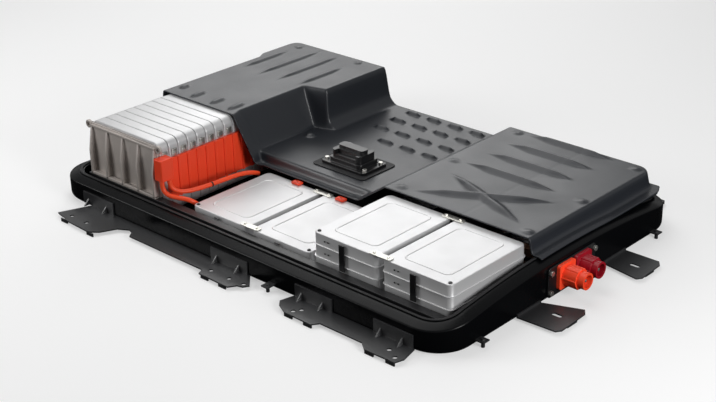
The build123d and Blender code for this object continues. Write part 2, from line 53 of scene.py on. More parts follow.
# ---- shader maths ----
class Signal:
    """A shader output whose arithmetic adds Math nodes."""

    def __init__(self, graph: "Graph", socket: bpy.types.NodeSocket) -> None:
        """Wraps one output socket of a graph.

        Args:
            graph: the graph that it belongs to.
            socket: the output.
        """
        self.graph = graph
        self.socket = socket

    def _with(self, operation: str, first: object, second: object) -> "Signal":
        """Adds one Math node on two values.

        Args:
            operation: the node's operation.
            first: a signal or a number.
            second: a signal or a number.

        Returns:
            The result.
        """
        return self.graph.node("ShaderNodeMath", {"operation": operation}, {0: first, 1: second})

    def __add__(self, other: object) -> "Signal":
        """self + other."""
        return self._with("ADD", self, other)

    __radd__ = __add__

    def __sub__(self, other: object) -> "Signal":
        """self - other."""
        return self._with("SUBTRACT", self, other)

    def __mul__(self, other: object) -> "Signal":
        """self * other."""
        return self._with("MULTIPLY", self, other)

    __rmul__ = __mul__


class Graph:
    """The node tree of a material or of the world."""

    def __init__(self, owner: bpy.types.Material | bpy.types.World) -> None:
        """Empties the owner's node tree.

        Args:
            owner: a new material or world.
        """
        owner.use_nodes = True
        self.owner = owner
        self.tree = owner.node_tree
        self.tree.nodes.clear()

    def node(self, kind: str, settings: dict | None = None, inputs: dict | None = None,
             output: int | str = 0) -> Signal:
        """Adds a node.

        Args:
            kind: the node's type.
            settings: attributes that are set first.
            inputs: values or signals by socket name or number.
            output: the output that is wanted.

        Returns:
            The wanted output as a signal.
        """
        made = self.tree.nodes.new(kind)
        for key, value in (settings or {}).items():
            setattr(made, key, value)
        for key, value in (inputs or {}).items():
            if isinstance(value, Signal):
                self.tree.links.new(value.socket, made.inputs[key])
            else:
                made.inputs[key].default_value = value
        return Signal(self, made.outputs[output])

    def surface(self, shader: Signal) -> None:
        """Sends a shader to the tree's output.

        Args:
            shader: what the output shows.
        """
        kind = "World" if isinstance(self.owner, bpy.types.World) else "Material"
        out = self.tree.nodes.new("ShaderNodeOutput" + kind)
        self.tree.links.new(shader.socket, out.inputs["Surface"])

    def noise(self, where: Signal, stretch: Triple, octaves: float) -> Signal:
        """Noise on stretched coordinates.

        Args:
            where: coordinates.
            stretch: waves per metre along each axis.
            octaves: how many layers of finer noise are added.

        Returns:
            A value round a half.
        """
        drawn = self.node("ShaderNodeMapping", None, {"Vector": where, "Scale": stretch})
        return self.node("ShaderNodeTexNoise", None,
                         {"Vector": drawn, "Scale": 1.0, "Detail": octaves})

    def blend(self, factor: Signal, first: Triple, second: Triple) -> Signal:
        """Mixes two colours by a factor.

        Args:
            factor: the share of the second.
            first: a colour.
            second: another colour.

        Returns:
            The mixed colour.
        """
        return self.node("ShaderNodeMix", {"data_type": "RGBA"},
                         {0: factor, 6: (*first, 1.0), 7: (*second, 1.0)}, 2)


class Grain(Enum):
    """How a finish varies: waves per metre of its patches and of its fine texture."""

    PAINT = ((9.0, 9.0, 9.0), (900.0, 900.0, 900.0))
    SHEET = ((14.0, 14.0, 14.0), (60.0, 1400.0, 1400.0))
    CASTING = ((30.0, 30.0, 30.0), (420.0, 420.0, 420.0))
    MOULDING = ((16.0, 16.0, 16.0), (700.0, 700.0, 700.0))
    PLATING = ((50.0, 50.0, 50.0), (800.0, 800.0, 200.0))


PATCH_OCTAVES = 4.0
TEXTURE_OCTAVES = 2.0
TEXTURE_SHARE = 0.4
TEXTURE_DEPTH = 0.0004
MIDDLE = 0.5


@dataclass(frozen=True)
class Finish:
    """A surface finish, with the record's slot that it stands for.

    The shade is the colour's share that is left in the darkest patches, the spread is how far the
    roughness varies, and the relief is the strength of the fine texture.
    """

    slot: str
    colour: Triple
    roughness: float
    metallic: float = 0.0
    specular: float = 0.5
    grain: Grain = Grain.PAINT
    shade: float = 0.8
    spread: float = 0.16
    relief: float = 0.05

    def material(self) -> bpy.types.Material:
        """The finish as a node material, made once.

        Returns:
            The material: patches turn the colour a little darker, the fine texture moves the
            roughness and lifts the surface.
        """
        name = f"{self.slot}_finish"
        known = bpy.data.materials.get(name)
        if known:
            return known
        graph = Graph(bpy.data.materials.new(name))
        where = graph.node("ShaderNodeTexCoord", output="Object")
        patches, fine = self.grain.value
        broad = graph.noise(where, patches, PATCH_OCTAVES)
        close = graph.noise(where, fine, TEXTURE_OCTAVES)
        dark = tuple(part * self.shade for part in self.colour)
        rough = (self.roughness + self.spread * (broad - MIDDLE)
                 + TEXTURE_SHARE * self.spread * (close - MIDDLE))
        lifted = graph.node("ShaderNodeBump", None, {
            "Strength": self.relief, "Distance": TEXTURE_DEPTH, "Height": close})
        graph.surface(graph.node("ShaderNodeBsdfPrincipled", None, {
            "Base Color": graph.blend(broad, self.colour, dark), "Roughness": rough,
            "Metallic": self.metallic, "Specular IOR Level": self.specular, "Normal": lifted}))
        return graph.owner


COVER_BLACK = Finish("cover_black", (0.014, 0.0165, 0.0215), 0.38, specular=0.5, relief=0.14)
# Black paint made darker than the real paint, as painted shade on the case's walls.
CASE_PAINT_AND_SHADE = Finish("case_paint", (0.002, 0.0022, 0.0027), 0.28, specular=0.12)
# Black paint like the case's, given a lighter colour as a painted highlight on the brackets.
BRACKET_PAINT_AND_HIGHLIGHT = Finish("bracket_paint", (0.022, 0.0225, 0.024), 0.38, specular=0.6)
SEAL_RUBBER = Finish("seal_rubber", (0.010, 0.010, 0.011), 0.6, specular=0.3,
                     grain=Grain.MOULDING)
MODULE_CAN = Finish("module_can", (0.66, 0.66, 0.665), 0.40, metallic=0.5, specular=0.3,
                    grain=Grain.SHEET, shade=0.92, spread=0.12, relief=0.06)
END_METAL = Finish("end_plate_metal", (0.54, 0.49, 0.455), 0.46, metallic=0.2,
                   grain=Grain.CASTING, shade=0.78, relief=0.2)
RAIL_STEEL = Finish("rail_steel", (0.012, 0.012, 0.013), 0.42, specular=0.4)
BRIGHT_STEEL = Finish("bright_steel", (0.58, 0.57, 0.53), 0.3, metallic=0.9, grain=Grain.PLATING)
ORANGE = Finish("orange_plastic", (1.0, 0.075, 0.026), 0.36, specular=0.3,
                grain=Grain.MOULDING, shade=0.86)
LEAD_ORANGE = Finish("lead_orange", (1.0, 0.095, 0.032), 0.34, specular=0.3,
                     grain=Grain.MOULDING, shade=0.88)
RED = Finish("red_plastic", (0.32, 0.006, 0.016), 0.32, specular=0.3,
             grain=Grain.MOULDING, shade=0.85)
COPPER = Finish("copper_bar", (0.70, 0.36, 0.22), 0.35, metallic=0.9, grain=Grain.PLATING)
BLACK_PLASTIC = Finish("black_plastic", (0.008, 0.008, 0.0088), 0.32, specular=0.4,
                       grain=Grain.MOULDING)


# ---- meshes ----
LONGEST_REACH = 0.45
CORNER_STEPS = 9
SKEW = (0.31, 0.87, 0.38)
SMALL_EDGE = 1.5
FLAT_WITHIN = 0.5
SHARP_PAST = 30.0
BEVEL_PAST = 28.0


def lattice(rows: int, columns: int, wrap: bool) -> Array:
    """Quads of a grid, where row i and column k is point i * columns + k.

    Args:
        rows: rows of points.
        columns: points in a row.
        wrap: joins the last row to the first.

    Returns:
        Four point numbers for each quad.
    """
    last = rows if wrap else rows - 1
    i, k = np.meshgrid(np.arange(last), np.arange(columns - 1), indexing="ij")
    after = (i + 1) % rows
    quads = np.stack([i * columns + k, after * columns + k, after * columns + k + 1,
                      i * columns + k + 1], axis=-1)
    return quads.reshape(-1, 4)


def capped(rows: int, columns: int) -> list[list[int]]:
    """Faces of a wrapped grid, with one flat face over its first column and one over its last.

    Args:
        rows: rows of points, the last of which joins the first.
        columns: points in a row.

    Returns:
        The point numbers of each face.
    """
    start = np.arange(rows) * columns
    return lattice(rows, columns, True).tolist() + [start[::-1].tolist(),
                                                    (start + columns - 1).tolist()]


def soften(points: Array, radius: float | Array, steps: int = 4, closed: bool = False) -> Array:
    """Rounds a polyline's corners: each becomes a quadratic arc between points a radius away.

    Args:
        points: one row for each corner.
        radius: the reach of the arc along both edges, at most LONGEST_REACH of each edge.
        steps: points on each arc.
        closed: rounds the first and last points too.

    Returns:
        The rounded polyline.
    """
    points = np.asarray(points, float)
    reach = np.broadcast_to(np.asarray(radius, float), len(points))[:, None]

    def toward(other: Array) -> Array:
        """The points moved towards their neighbours by the reach."""
        away = other - points
        length = np.maximum(np.linalg.norm(away, axis=1, keepdims=True), TINY)
        return points + away / length * np.minimum(reach, LONGEST_REACH * length)

    start, end = toward(np.roll(points, 1, 0)), toward(np.roll(points, -1, 0))
    if not closed:
        start[0] = end[0] = points[0]
        start[-1] = end[-1] = points[-1]
    t = np.linspace(0, 1, steps)[None, :, None]
    arcs = (1 - t) ** 2 * start[:, None] + 2 * t * (1 - t) * points[:, None] + t ** 2 * end[:, None]
    if closed:
        return arcs.reshape(-1, points.shape[1])
    return np.concatenate([points[:1], arcs[1:-1].reshape(-1, points.shape[1]), points[-1:]])


def rounded_outline(length: float, width: float, radius: float, steps: int) -> tuple[Array, Array]:
    """A rounded rectangle round the origin: quarter circles on the corners of a smaller rectangle.

    Args:
        length: along X.
        width: along Y.
        radius: of the corners.
        steps: points on each corner.

    Returns:
        The points, counter-clockwise, and their outward normals.
    """
    angle = np.radians(np.array([180, 270, 0, 90])[:, None] + np.linspace(0, 90, steps)[None, :])
    normal = np.stack([np.cos(angle), np.sin(angle)], axis=-1)
    signs = np.array([[-1, -1], [1, -1], [1, 1], [-1, 1]])
    corner = signs * np.array([length / 2 - radius, width / 2 - radius])
    return (corner[:, None] + radius * normal).reshape(-1, 2), normal.reshape(-1, 2)


@dataclass
class Patch:
    """Points with their faces, before they become a mesh."""

    points: Array
    faces: list[list[int]]

    @staticmethod
    def join(patches: list["Patch"]) -> "Patch":
        """Puts several patches together.

        Args:
            patches: what is joined.

        Returns:
            One patch.
        """
        points, faces, count = [], [], 0
        for patch in patches:
            points.append(patch.points)
            faces += [[corner + count for corner in face] for face in patch.faces]
            count += len(patch.points)
        return Patch(np.concatenate(points), faces)

    def moved(self, shift: Array) -> "Patch":
        """The patch moved by a vector.

        Args:
            shift: the vector.

        Returns:
            The moved patch.
        """
        return Patch(self.points + np.asarray(shift, float), self.faces)

    def turned(self, matrix: Array) -> "Patch":
        """The patch with its points turned by a rotation.

        Args:
            matrix: the rotation's three rows.

        Returns:
            The turned patch.
        """
        return Patch(self.points @ np.asarray(matrix, float).T, self.faces)


def carried(outline: Array, normal: Array, section: Array) -> Patch:
    """A section carried round a closed outline.

    A point is the outline's, moved in by the inset along the normal, at the section's height.

    Args:
        outline: points of the path, counter-clockwise.
        normal: outward normals of the path.
        section: rows of (inset, height), from the underside's edge outwards, up and in again.

    Returns:
        A closed shell, with flat faces over both ends of the section.
    """
    flat = outline[:, None] - section[None, :, :1] * normal[:, None]
    high = np.broadcast_to(section[None, :, 1:2], flat.shape[:2] + (1,))
    points = np.concatenate([flat, high], axis=-1).reshape(-1, 3)
    return Patch(points, capped(len(outline), len(section)))


def brick(low: Triple, high: Triple, radius: float) -> Patch:
    """A block with all its edges rounded, between two corners.

    Args:
        low: its lowest corner.
        high: its highest corner.
        radius: of the edges.

    Returns:
        The block.
    """
    low, high = np.array(low, float), np.array(high, float)
    size = high - low
    outline, normal = rounded_outline(size[0], size[1], radius, 3)
    inset = 2 * radius
    section = np.array([(inset, 0), (0, 0), (0, size[2]), (inset, size[2])])
    section = soften(section, radius, 3)
    return carried(outline, normal, section).moved([*(low + high)[:2] / 2, low[2]])


def studs(centres: Array, profile: Array, sides: int, direction: Array) -> Patch:
    """Small turned parts: a profile of (radius, height) spun about an axis at each centre.

    Args:
        centres: where each stands.
        profile: from the foot's edge to the top's edge.
        sides: faces round each.
        direction: the axis.

    Returns:
        All of them.
    """
    up = np.array(direction, float)
    side = np.cross(up, SKEW)
    side /= np.linalg.norm(side)
    other = np.cross(up, side)
    angle = np.linspace(0, 2 * np.pi, sides, endpoint=False)
    round_ = np.cos(angle)[:, None] * side + np.sin(angle)[:, None] * other
    one = profile[None, :, :1] * round_[:, None] + profile[None, :, 1:2] * up
    stud = Patch(one.reshape(-1, 3), capped(sides, len(profile)))
    return Patch.join([stud.moved(centre) for centre in centres])


def hose(points: Array, radius: float, sides: int = 20, steps: int = 8) -> Patch:
    """A round tube along a cubic B-spline through smoothed control points.

    Args:
        points: the spline's control points; both ends are met.
        radius: of the tube.
        sides: points round it.
        steps: points along each span.

    Returns:
        The tube with flat ends.
    """
    p = np.asarray(points, float)
    p = np.concatenate([[p[0]] * 2, p, [p[-1]] * 2])
    t = np.linspace(0, 1, steps, endpoint=False)[None, :, None]
    basis = [(1 - t) ** 3, 3 * t ** 3 - 6 * t ** 2 + 4,
             -3 * t ** 3 + 3 * t ** 2 + 3 * t + 1, t ** 3]
    spans = len(p) - 3
    path = sum(weight * p[k:k + spans][:, None] for k, weight in enumerate(basis)) / 6
    path = np.concatenate([path.reshape(-1, 3), p[-1:]])
    path = path[np.concatenate([[True], np.linalg.norm(np.diff(path, axis=0), axis=1) > TINY])]
    along = np.gradient(path, axis=0)
    along /= np.linalg.norm(along, axis=1, keepdims=True)
    side = np.cross(along, np.array([1.0, -1.0, 0.0]) / math.sqrt(2))
    side /= np.linalg.norm(side, axis=1, keepdims=True)
    other = np.cross(along, side)
    angle = np.linspace(0, 2 * np.pi, sides, endpoint=False)[:, None, None]
    ring = path[None] + radius * (np.cos(angle) * side[None] + np.sin(angle) * other[None])
    return Patch(ring.reshape(-1, 3), capped(sides, len(path)))


def placed(name: str, data: bpy.types.ID) -> bpy.types.Object:
    """Puts a mesh, lamp or camera in the scene.

    Args:
        name: the object's name.
        data: what it shows.

    Returns:
        The object.
    """
    thing = bpy.data.objects.new(name, data)
    bpy.context.scene.collection.objects.link(thing)
    return thing


def make_piece(name: str, patch: Patch, finish: Finish, replaced: tuple[str, ...] = (),
               sharp: float = 38.0) -> bpy.types.Object:
    """Turns a patch in millimetres into a finished piece of the object.

    Args:
        name: the piece's name.
        patch: its surface.
        finish: its finish.
        replaced: CAD nodes that it stands for.
        sharp: edges that turn more than this, in degrees, stay sharp.

    Returns:
        The piece, on the object's body.
    """
    mesh = bpy.data.meshes.new(name)
    mesh.from_pydata((patch.points * MM).tolist(), [], patch.faces)
    mesh.validate()
    return dressed(name, mesh, finish, replaced, sharp)


def dressed(name: str, mesh: bpy.types.Mesh, finish: Finish, replaced: tuple[str, ...],
            sharp: float) -> bpy.types.Object:
    """Gives a mesh its shading, finish and place on the object.

    Args:
        name: the piece's name.
        mesh: its mesh, in metres.
        finish: its finish.
        replaced: CAD nodes that it stands for.
        sharp: the angle in degrees past which an edge stays sharp.

    Returns:
        The piece.
    """
    mesh.polygons.foreach_set("use_smooth", [True] * len(mesh.polygons))
    mesh.set_sharp_from_angle(angle=math.radians(sharp))
    mesh.materials.append(finish.material())
    piece = placed(name, mesh)
    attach(piece, BODY)
    if replaced:
        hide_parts(*replaced)
    LOG.info("%s: %d faces", name, len(mesh.polygons))
    return piece


def refined(node: str, finish: Finish, edge: float) -> bpy.types.Object:
    """A CAD node with its triangles merged and its edges rounded.

    Args:
        node: the node.
        finish: its finish.
        edge: width of the rounding in millimetres.

    Returns:
        The piece that stands for it.
    """
    work = bmesh.new()
    work.from_mesh(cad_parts[node].data)
    bmesh.ops.remove_doubles(work, verts=work.verts, dist=2 * TINY)
    bmesh.ops.dissolve_limit(work, angle_limit=math.radians(FLAT_WITHIN), verts=work.verts,
                             edges=work.edges)
    name = node + "_finished"
    mesh = bpy.data.meshes.new(name)
    work.to_mesh(mesh)
    work.free()
    piece = dressed(name, mesh, finish, (node,), SHARP_PAST)
    bevel = piece.modifiers.new("edges", "BEVEL")
    bevel.width = edge * MM
    bevel.segments = 2
    bevel.limit_method = "ANGLE"
    bevel.angle_limit = math.radians(BEVEL_PAST)
    bevel.harden_normals = True
    return piece


# ---- the lower case, its seal and the cover ----
@dataclass
class Rim:
    """The outline of the case, whose front edge rises towards its middle."""

    rear: float = -813.0
    front: float = 690.0
    half: float = 511.0
    radius: float = 105.0
    crown: float = 39.5
    corner_steps: int = 25
    front_steps: int = 33

    def rise(self, y: Array) -> Array:
        """How far the front edge is raised, a parabola that is nothing at both sides.

        Args:
            y: positions across the pack.

        Returns:
            The rise at each.
        """
        return self.crown * (1 - (y / self.half) ** 2)

    def stations(self) -> tuple[Array, Array, Array]:
        """Points round the outline.

        Returns:
            The points, the outward normals and the rise at each: the front's parabola times the
            square of how far the normal points forward.
        """
        span = self.front - self.rear
        outline, normal = rounded_outline(span, 2 * self.half, self.radius, self.corner_steps)
        outline[:, 0] += (self.rear + self.front) / 2
        inner = self.half - self.radius
        y = np.linspace(-inner, inner, self.front_steps + 1)[1:-1]
        place = 2 * self.corner_steps
        outline = np.insert(outline, place, np.stack([np.full_like(y, self.front), y], 1), axis=0)
        normal = np.insert(normal, place, np.tile([1.0, 0.0], (len(y), 1)), axis=0)
        return outline, normal, self.rise(outline[:, 1]) * np.maximum(normal[:, 0], 0) ** 2

    def swept(self, section: Array, closed: bool) -> Patch:
        """A section of (inset, height, share of the rise) carried round the outline.

        Args:
            section: its rows, outwards and up, then in.
            closed: the section is a ring; otherwise flat faces close both of its ends.

        Returns:
            The shell.
        """
        outline, normal, rise = self.stations()
        flat = outline[:, None] - section[None, :, :1] * normal[:, None]
        high = section[None, :, 1:2] + section[None, :, 2:3] * rise[:, None, None]
        points = np.concatenate([flat, high], axis=-1)
        if closed:
            points = np.concatenate([points, points[:, :1]], axis=1)
            count, columns = points.shape[:2]
            quads = lattice(count, columns, True)
            row, column = quads // columns, quads % columns
            quads = row * (columns - 1) + column % (columns - 1)
            return Patch(points[:, :-1].reshape(-1, 3), quads.tolist())
        return Patch(points.reshape(-1, 3), capped(*points.shape[:2]))


@dataclass
class LowerCase:
    """Pressed tray: floor, wall, sloped shoulder and sealing land, with the rubber seal."""

    rim: Rim = field(default_factory=Rim)
    gauge: float = 4.0
    depth: float = 66.0
    top: float = 76.0
    shoulder: float = 26.0
    land: float = 44.0
    floor_edge: float = 12.0
    floor_inset: float = 60.0
    seal: tuple[float, float, float, float] = (31.0, 39.0, 77.1, 80.1)
    seal_edge: float = 1.2
    sharp: float = 50.0

    def build(self) -> None:
        """Makes the tray and the seal."""
        g, e = self.gauge, self.floor_edge
        corners = np.array([
            (self.floor_inset, 0, 0), (e, 0, 0), (0, e, 0), (0, self.depth, 1),
            (self.shoulder, self.top, 1), (self.land, self.top, 1), (self.land, self.top - g, 1),
            (self.shoulder, self.top - g, 1), (g, self.depth - g, 1), (g, e + 2, 0), (e + 2, g, 0),
            (self.floor_inset, g, 0)])
        reach = np.array([0, 5, 6, 4, 5, 1.5, 1.5, 4, 4, 4, 4, 0])
        make_piece("case_pressing", self.rim.swept(soften(corners, reach, 5), False), CASE_PAINT_AND_SHADE,
                   ("lower_case",), self.sharp)
        a, b, low, high = self.seal
        ring = np.array([(a, low, 1), (a, high, 1), (b, high, 1), (b, low, 1)])
        ring = soften(ring, self.seal_edge, closed=True)
        make_piece("rim_seal", self.rim.swept(ring, True), SEAL_RUBBER,
                   ("case_seal",))


@dataclass(frozen=True)
class Pressing:
    """The size of one kind of pressed lozenge: its width, its height and where it is widest."""

    width: float
    height: float
    widest: float = 0.5
    taper: float = 0.3
    tip: float = 0.22


@dataclass(frozen=True)
class Boss:
    """A round raised spot: its height, the radius of its flat and the radius of its foot."""

    height: float
    flat: float
    foot: float

    def over(self, x: Array, y: Array, centre: tuple[float, float]) -> Array:
        """The heights that the spot adds: a flat top, then a cone down to nothing at the foot.

        Args:
            x: positions along the pack.
            y: positions across it.
            centre: the spot's middle.

        Returns:
            The heights.
        """
        away = np.hypot(x - centre[0], y - centre[1])
        return self.height * np.clip((self.foot - away) / (self.foot - self.flat), 0, 1)


@dataclass
class PressedCover:
    """The upper cover as one height over the plan: hump, far hump, tunnel, ledge and plateau.

    Lengths are in millimetres. A steepness is the height that is lost for each millimetre of run.
    """

    rim: Rim = field(default_factory=Rim)
    outer: float = 14.0
    flange: float = 85.2
    hem_drop: float = 4.6
    hem_run: float = 8.0
    gauge: float = 4.0
    side: float = 456.0
    beyond_all: float = 900.0
    hump: float = 240.0
    highest: float = 245.8
    hump_rear: float = -740.0
    hump_corner: float = 34.0
    hump_draft: float = 11.0
    jog: float = 16.0
    jog_start: float = 265.0
    jog_run: float = 30.0
    hump_front: float = -430.0
    front_draft: float = 2.9
    cheek: tuple[float, float] = (-419.0, -140.0)
    cheek_turn: float = 0.33
    cheek_run: float = 0.48
    step: tuple[float, float] = (-436.0, 161.0)
    step_turn: float = 20 / 79
    far_front: float = -351.0
    far_draft: float = 13.0
    cove_height: float = 30.0
    cove_from: float = -347.0
    cove_start: float = -345.0
    cove_run: float = 38.0
    cove_side: float = 176.0
    tunnel: float = 117.0
    tunnel_span: tuple[float, float] = (-450.0, 110.0)
    tunnel_near: float = -85.0
    near_draft: float = 5.0
    tunnel_far: float = 460.0
    ledge: float = 94.0
    ledge_far: float = 462.0
    wall_draft: float = 14.0
    groove_depth: float = 2.5
    groove_x: tuple[float, float] = (-350.0, 20.0)
    groove_y: tuple[float, float] = (-108.0, -92.0)
    plateau: float = 165.0
    plateau_front: float = 638.0
    plateau_corner: float = 40.0
    plateau_draft: float = 7.0
    ramp_start: float = 46.0
    ramp: float = 0.696
    crease: float = 422.0
    crease_depth: float = 0.9
    crease_width: float = 2.2
    wall_blur: float = 2.9
    pressing_blur: float = 1.1
    pitch: float = 2.0
    samples: int = 6000
    even_x: tuple[float, float] = (-830.0, 712.0)
    even_y: tuple[float, float] = (-190.0, 532.0)
    span_x: tuple[float, float] = (-799.0, 676.0)
    span_y: tuple[float, float] = (-141.0, 497.0)
    coarse_x: float = 12.0
    coarse_y: float = 3.7
    sharp: float = 75.0
    rib: Pressing = Pressing(36.0, 11.0)
    arm: Pressing = Pressing(40.0, 11.0)
    strake: Pressing = Pressing(26.0, 7.0)
    dart: Pressing = Pressing(26.0, 12.0, 0.62)
    dart_span: tuple[float, float] = (-2.0, 64.0)
    dimple: Boss = Boss(4.0, 8.0, 16.0)
    stud_boss: Boss = Boss(8.0, 9.0, 18.0)
    stud: tuple[float, float] = (-346.0, 101.0)
    cut: tuple[tuple[float, float], ...] = ((-820.0, -140.0), (-410.0, -140.0), (-328.0, -112.0),
                                            (700.0, -112.0))
    ribs: tuple = ((222, 435, 524, 435), (213, 343, 521, 343), (212, 251, 521, 251),
                   (212, 158, 521, 158))
    arms: tuple = ((223, -84, 566, 104), (224, 75, 569, -60))
    strakes: tuple = ((-700, 157, -700, 370), (-616, 132, -616, 446), (-533, 134, -533, 446),
                      (-450, 156, -450, 369), (-705, -100, -705, -58), (-622, -130, -622, -61),
                      (-535, -130, -535, -62), (-458, -130, -458, -53))
    close_x: tuple = ((-797, 2, 2.5), (-752, 24, 2.8), (-700, 13, 3.2), (-616, 13, 3.2),
                      (-533, 13, 3.2), (-450, 13, 3.2), (-418, 30, 3.0), (-345, 12, 2.6),
                      (-325, 16, 4.0), (-219, 36, 4.0), (-134, 36, 4.0), (-49, 36, 4.0),
                      (36, 38, 4.0), (148, 8, 3.0), (390, 180, 6.0), (645, 16, 2.6),
                      (674, 3, 2.5))
    close_y: tuple = ((-139, 3, 2.6), (-112, 3, 2.4), (-85, 6, 2.4), (167, 16, 2.8), (462, 9, 2.4),
                      (494, 4, 2.6))
    dart_columns: tuple = (-250, -165, -80, 5)
    dart_rows: tuple = (206, 283, 360, 430)
    dimples: tuple = ((186, -84), (182, 147), (196, 425), (612, -84), (611, 153), (604, 425),
                      (-444, 424), (-699, 413))

    def walls(self, x: Array, y: Array) -> Array:
        """The cover's height with sharp edges.

        It is the highest of the cover's forms, where each form is the lowest of its own planes.

        Args:
            x: positions along the pack.
            y: positions across it.

        Returns:
            The heights.
        """
        near, far, cove = self.humps(x, y)
        return np.maximum.reduce([self.flat_rim(x, y), near, far, cove, self.trough(x, y),
                                  self.deck(x, y)])

    def flat_rim(self, x: Array, y: Array) -> Array:
        """The flange, which follows the rim's rise and turns down at the sheet's edge.

        Args:
            x: positions along the pack.
            y: positions across it.

        Returns:
            The heights.
        """
        rim, outer = self.rim, self.outer
        ahead = np.maximum(x - (rim.front - rim.radius), 0)
        aside = np.maximum(np.abs(y) - (rim.half - rim.radius), 0)
        share = ahead ** 2 / np.maximum(ahead ** 2 + aside ** 2, TINY)
        sheet = (rim.rear + outer, rim.front - outer, outer - rim.half, rim.half - outer)
        within = -self.beyond(x, y, sheet, rim.radius - outer)
        hem = self.hem_drop * np.clip(1 - within / self.hem_run, 0, 1)
        return self.flange + rim.rise(y) * share - hem

    def humps(self, x: Array, y: Array) -> tuple[Array, Array, Array]:
        """The raised rear.

        Args:
            x: positions along the pack.
            y: positions across it.

        Returns:
            The near hump with its sloped cheek, the longer far hump, and the cove at its foot.
        """
        hump = self.hump
        back = self.hump_rear - self.jog * np.clip((y - self.jog_start) / self.jog_run, 0, 1)
        sides = (back, self.beyond_all, -self.beyond_all, self.side)
        flank = hump - self.beyond(x, y, sides, self.hump_corner) * self.hump_draft
        body = np.minimum(hump, flank)
        cheek_x, cheek_y = self.cheek
        cheek = hump - (x - cheek_x + self.cheek_turn * (y - cheek_y)) / self.cheek_run
        near = np.minimum(body, np.maximum(hump - (x - self.hump_front) * self.front_draft, cheek))
        step_x, step_y = self.step
        inward = y - (step_y + (x - step_x) * self.step_turn)
        far = np.minimum.reduce([body, hump - (x - self.far_front) * self.far_draft,
                                 hump + inward * self.hump_draft])
        fade = np.clip(1 - (x - self.cove_start) / self.cove_run, 0, 1)
        beside = (x > self.cove_from) & (y > self.cove_side)
        cove = np.where(beside, self.tunnel + self.cove_height * fade ** 2, 0)
        return near, far, np.minimum(cove, flank)

    def trough(self, x: Array, y: Array) -> Array:
        """The low tunnel with its ledge along the far side and its groove along the near edge.

        Args:
            x: positions along the pack.
            y: positions across it.

        Returns:
            The heights.
        """
        rear, front = self.tunnel_span
        flat = np.minimum.reduce([np.full_like(y, self.tunnel),
                                  self.tunnel + (y - self.tunnel_near) * self.near_draft,
                                  self.tunnel - (y - self.tunnel_far) * self.wall_draft])
        shelf = np.minimum(self.ledge, self.ledge - (y - self.ledge_far) * self.wall_draft)
        low = np.where((x > rear) & (x < front), np.maximum(flat, shelf), 0)
        (rear, front), (near, far) = self.groove_x, self.groove_y
        groove = (y > near) & (y < far) & (x > rear) & (x < front)
        return np.where(groove, low - self.groove_depth, low)

    def deck(self, x: Array, y: Array) -> Array:
        """The front plateau, which climbs a ramp from the ledge and falls off at its front.

        Args:
            x: positions along the pack.
            y: positions across it.

        Returns:
            The heights.
        """
        sides = (-self.beyond_all, self.plateau_front, -self.beyond_all, self.side)
        edge = self.beyond(x, y, sides, self.plateau_corner)
        return np.minimum.reduce([np.full_like(x, self.plateau),
                                  self.ledge + (x - self.ramp_start) * self.ramp,
                                  self.plateau - edge * self.plateau_draft])

    def beyond(self, x: Array, y: Array, sides: tuple, radius: float) -> Array:
        """Distance outside a rounded rectangle.

        It is the length of the offset from the rectangle's shrunk core, less the radius.

        Args:
            x: positions along the pack.
            y: positions across it.
            sides: its rear, front, near and far sides.
            radius: of its corners.

        Returns:
            The distance, below nothing inside.
        """
        rear, front, near, far = sides
        dx = np.maximum(np.maximum(rear + radius - x, x - front + radius), 0)
        dy = np.maximum(np.maximum(near + radius - y, y - far + radius), 0)
        return np.hypot(dx, dy) - radius

    def ridge(self, x: Array, y: Array, line: tuple, form: Pressing) -> Array:
        """A pressed lozenge along a line: a crest that falls to both sides and both tips.

        Args:
            x: positions along the pack.
            y: positions across it.
            line: its two tips.
            form: its size.

        Returns:
            The heights that it adds.
        """
        x0, y0, x1, y1 = line
        length = math.hypot(x1 - x0, y1 - y0)
        ux, uy = (x1 - x0) / length, (y1 - y0) / length
        s = ((x - x0) * ux + (y - y0) * uy) / length
        t = np.abs(-(x - x0) * uy + (y - y0) * ux) / (form.width / 2)
        tips = np.minimum(s / form.widest, (1 - s) / (1 - form.widest)) / 2
        spread = np.clip(tips / form.taper, 1e-3, 1)
        ends = np.clip(tips / form.tip, 0, 1)
        return form.height * ends * np.clip(1 - t / spread, 0, 1)

    def darts(self) -> list[tuple]:
        """The lines of the tunnel's darts: an even grid without its first place."""
        start, end = self.dart_span
        grid = [(column + start, row, column + end, row)
                for row in self.dart_rows for column in self.dart_columns]
        return grid[1:]

    def pressings(self, x: Array, y: Array) -> Array:
        """All stiffening forms that stand on the flat tops, with sharp edges.

        Args:
            x: positions along the pack.
            y: positions across it.

        Returns:
            The heights that they add.
        """
        total = np.zeros_like(x)
        for lines, form in ((self.ribs, self.rib), (self.arms, self.arm),
                            (self.strakes, self.strake), (self.darts(), self.dart)):
            for line in lines:
                total = np.maximum(total, self.ridge(x, y, line, form))
        for centre in self.dimples:
            total = np.maximum(total, self.dimple.over(x, y, centre))
        total = np.maximum(total, self.stud_boss.over(x, y, self.stud))
        crease = np.exp(-((x - self.crease) / self.crease_width) ** 2)
        return total - self.crease_depth * crease * (np.abs(y) < self.side - self.gauge)

    def blurred(self, heights: Array, radius: float) -> Array:
        """Heights smoothed by a Gaussian along both axes, which rounds their edges and corners.

        Args:
            heights: the heights on the even lattice.
            radius: the Gaussian's standard deviation in millimetres.

        Returns:
            The smoothed heights.
        """
        sigma = radius / self.pitch
        taps = np.arange(-int(3 * sigma + 1), int(3 * sigma + 1) + 1)
        weight = np.exp(-0.5 * (taps / sigma) ** 2)
        weight /= weight.sum()
        reach = len(taps) // 2
        for axis in (0, 1):
            pad = [(reach, reach) if a == axis else (0, 0) for a in (0, 1)]
            wide = np.pad(heights, pad, mode="edge")
            size = heights.shape[axis]
            heights = sum(w * np.take(wide, np.arange(k, k + size), axis=axis)
                          for k, w in enumerate(weight))
        return heights

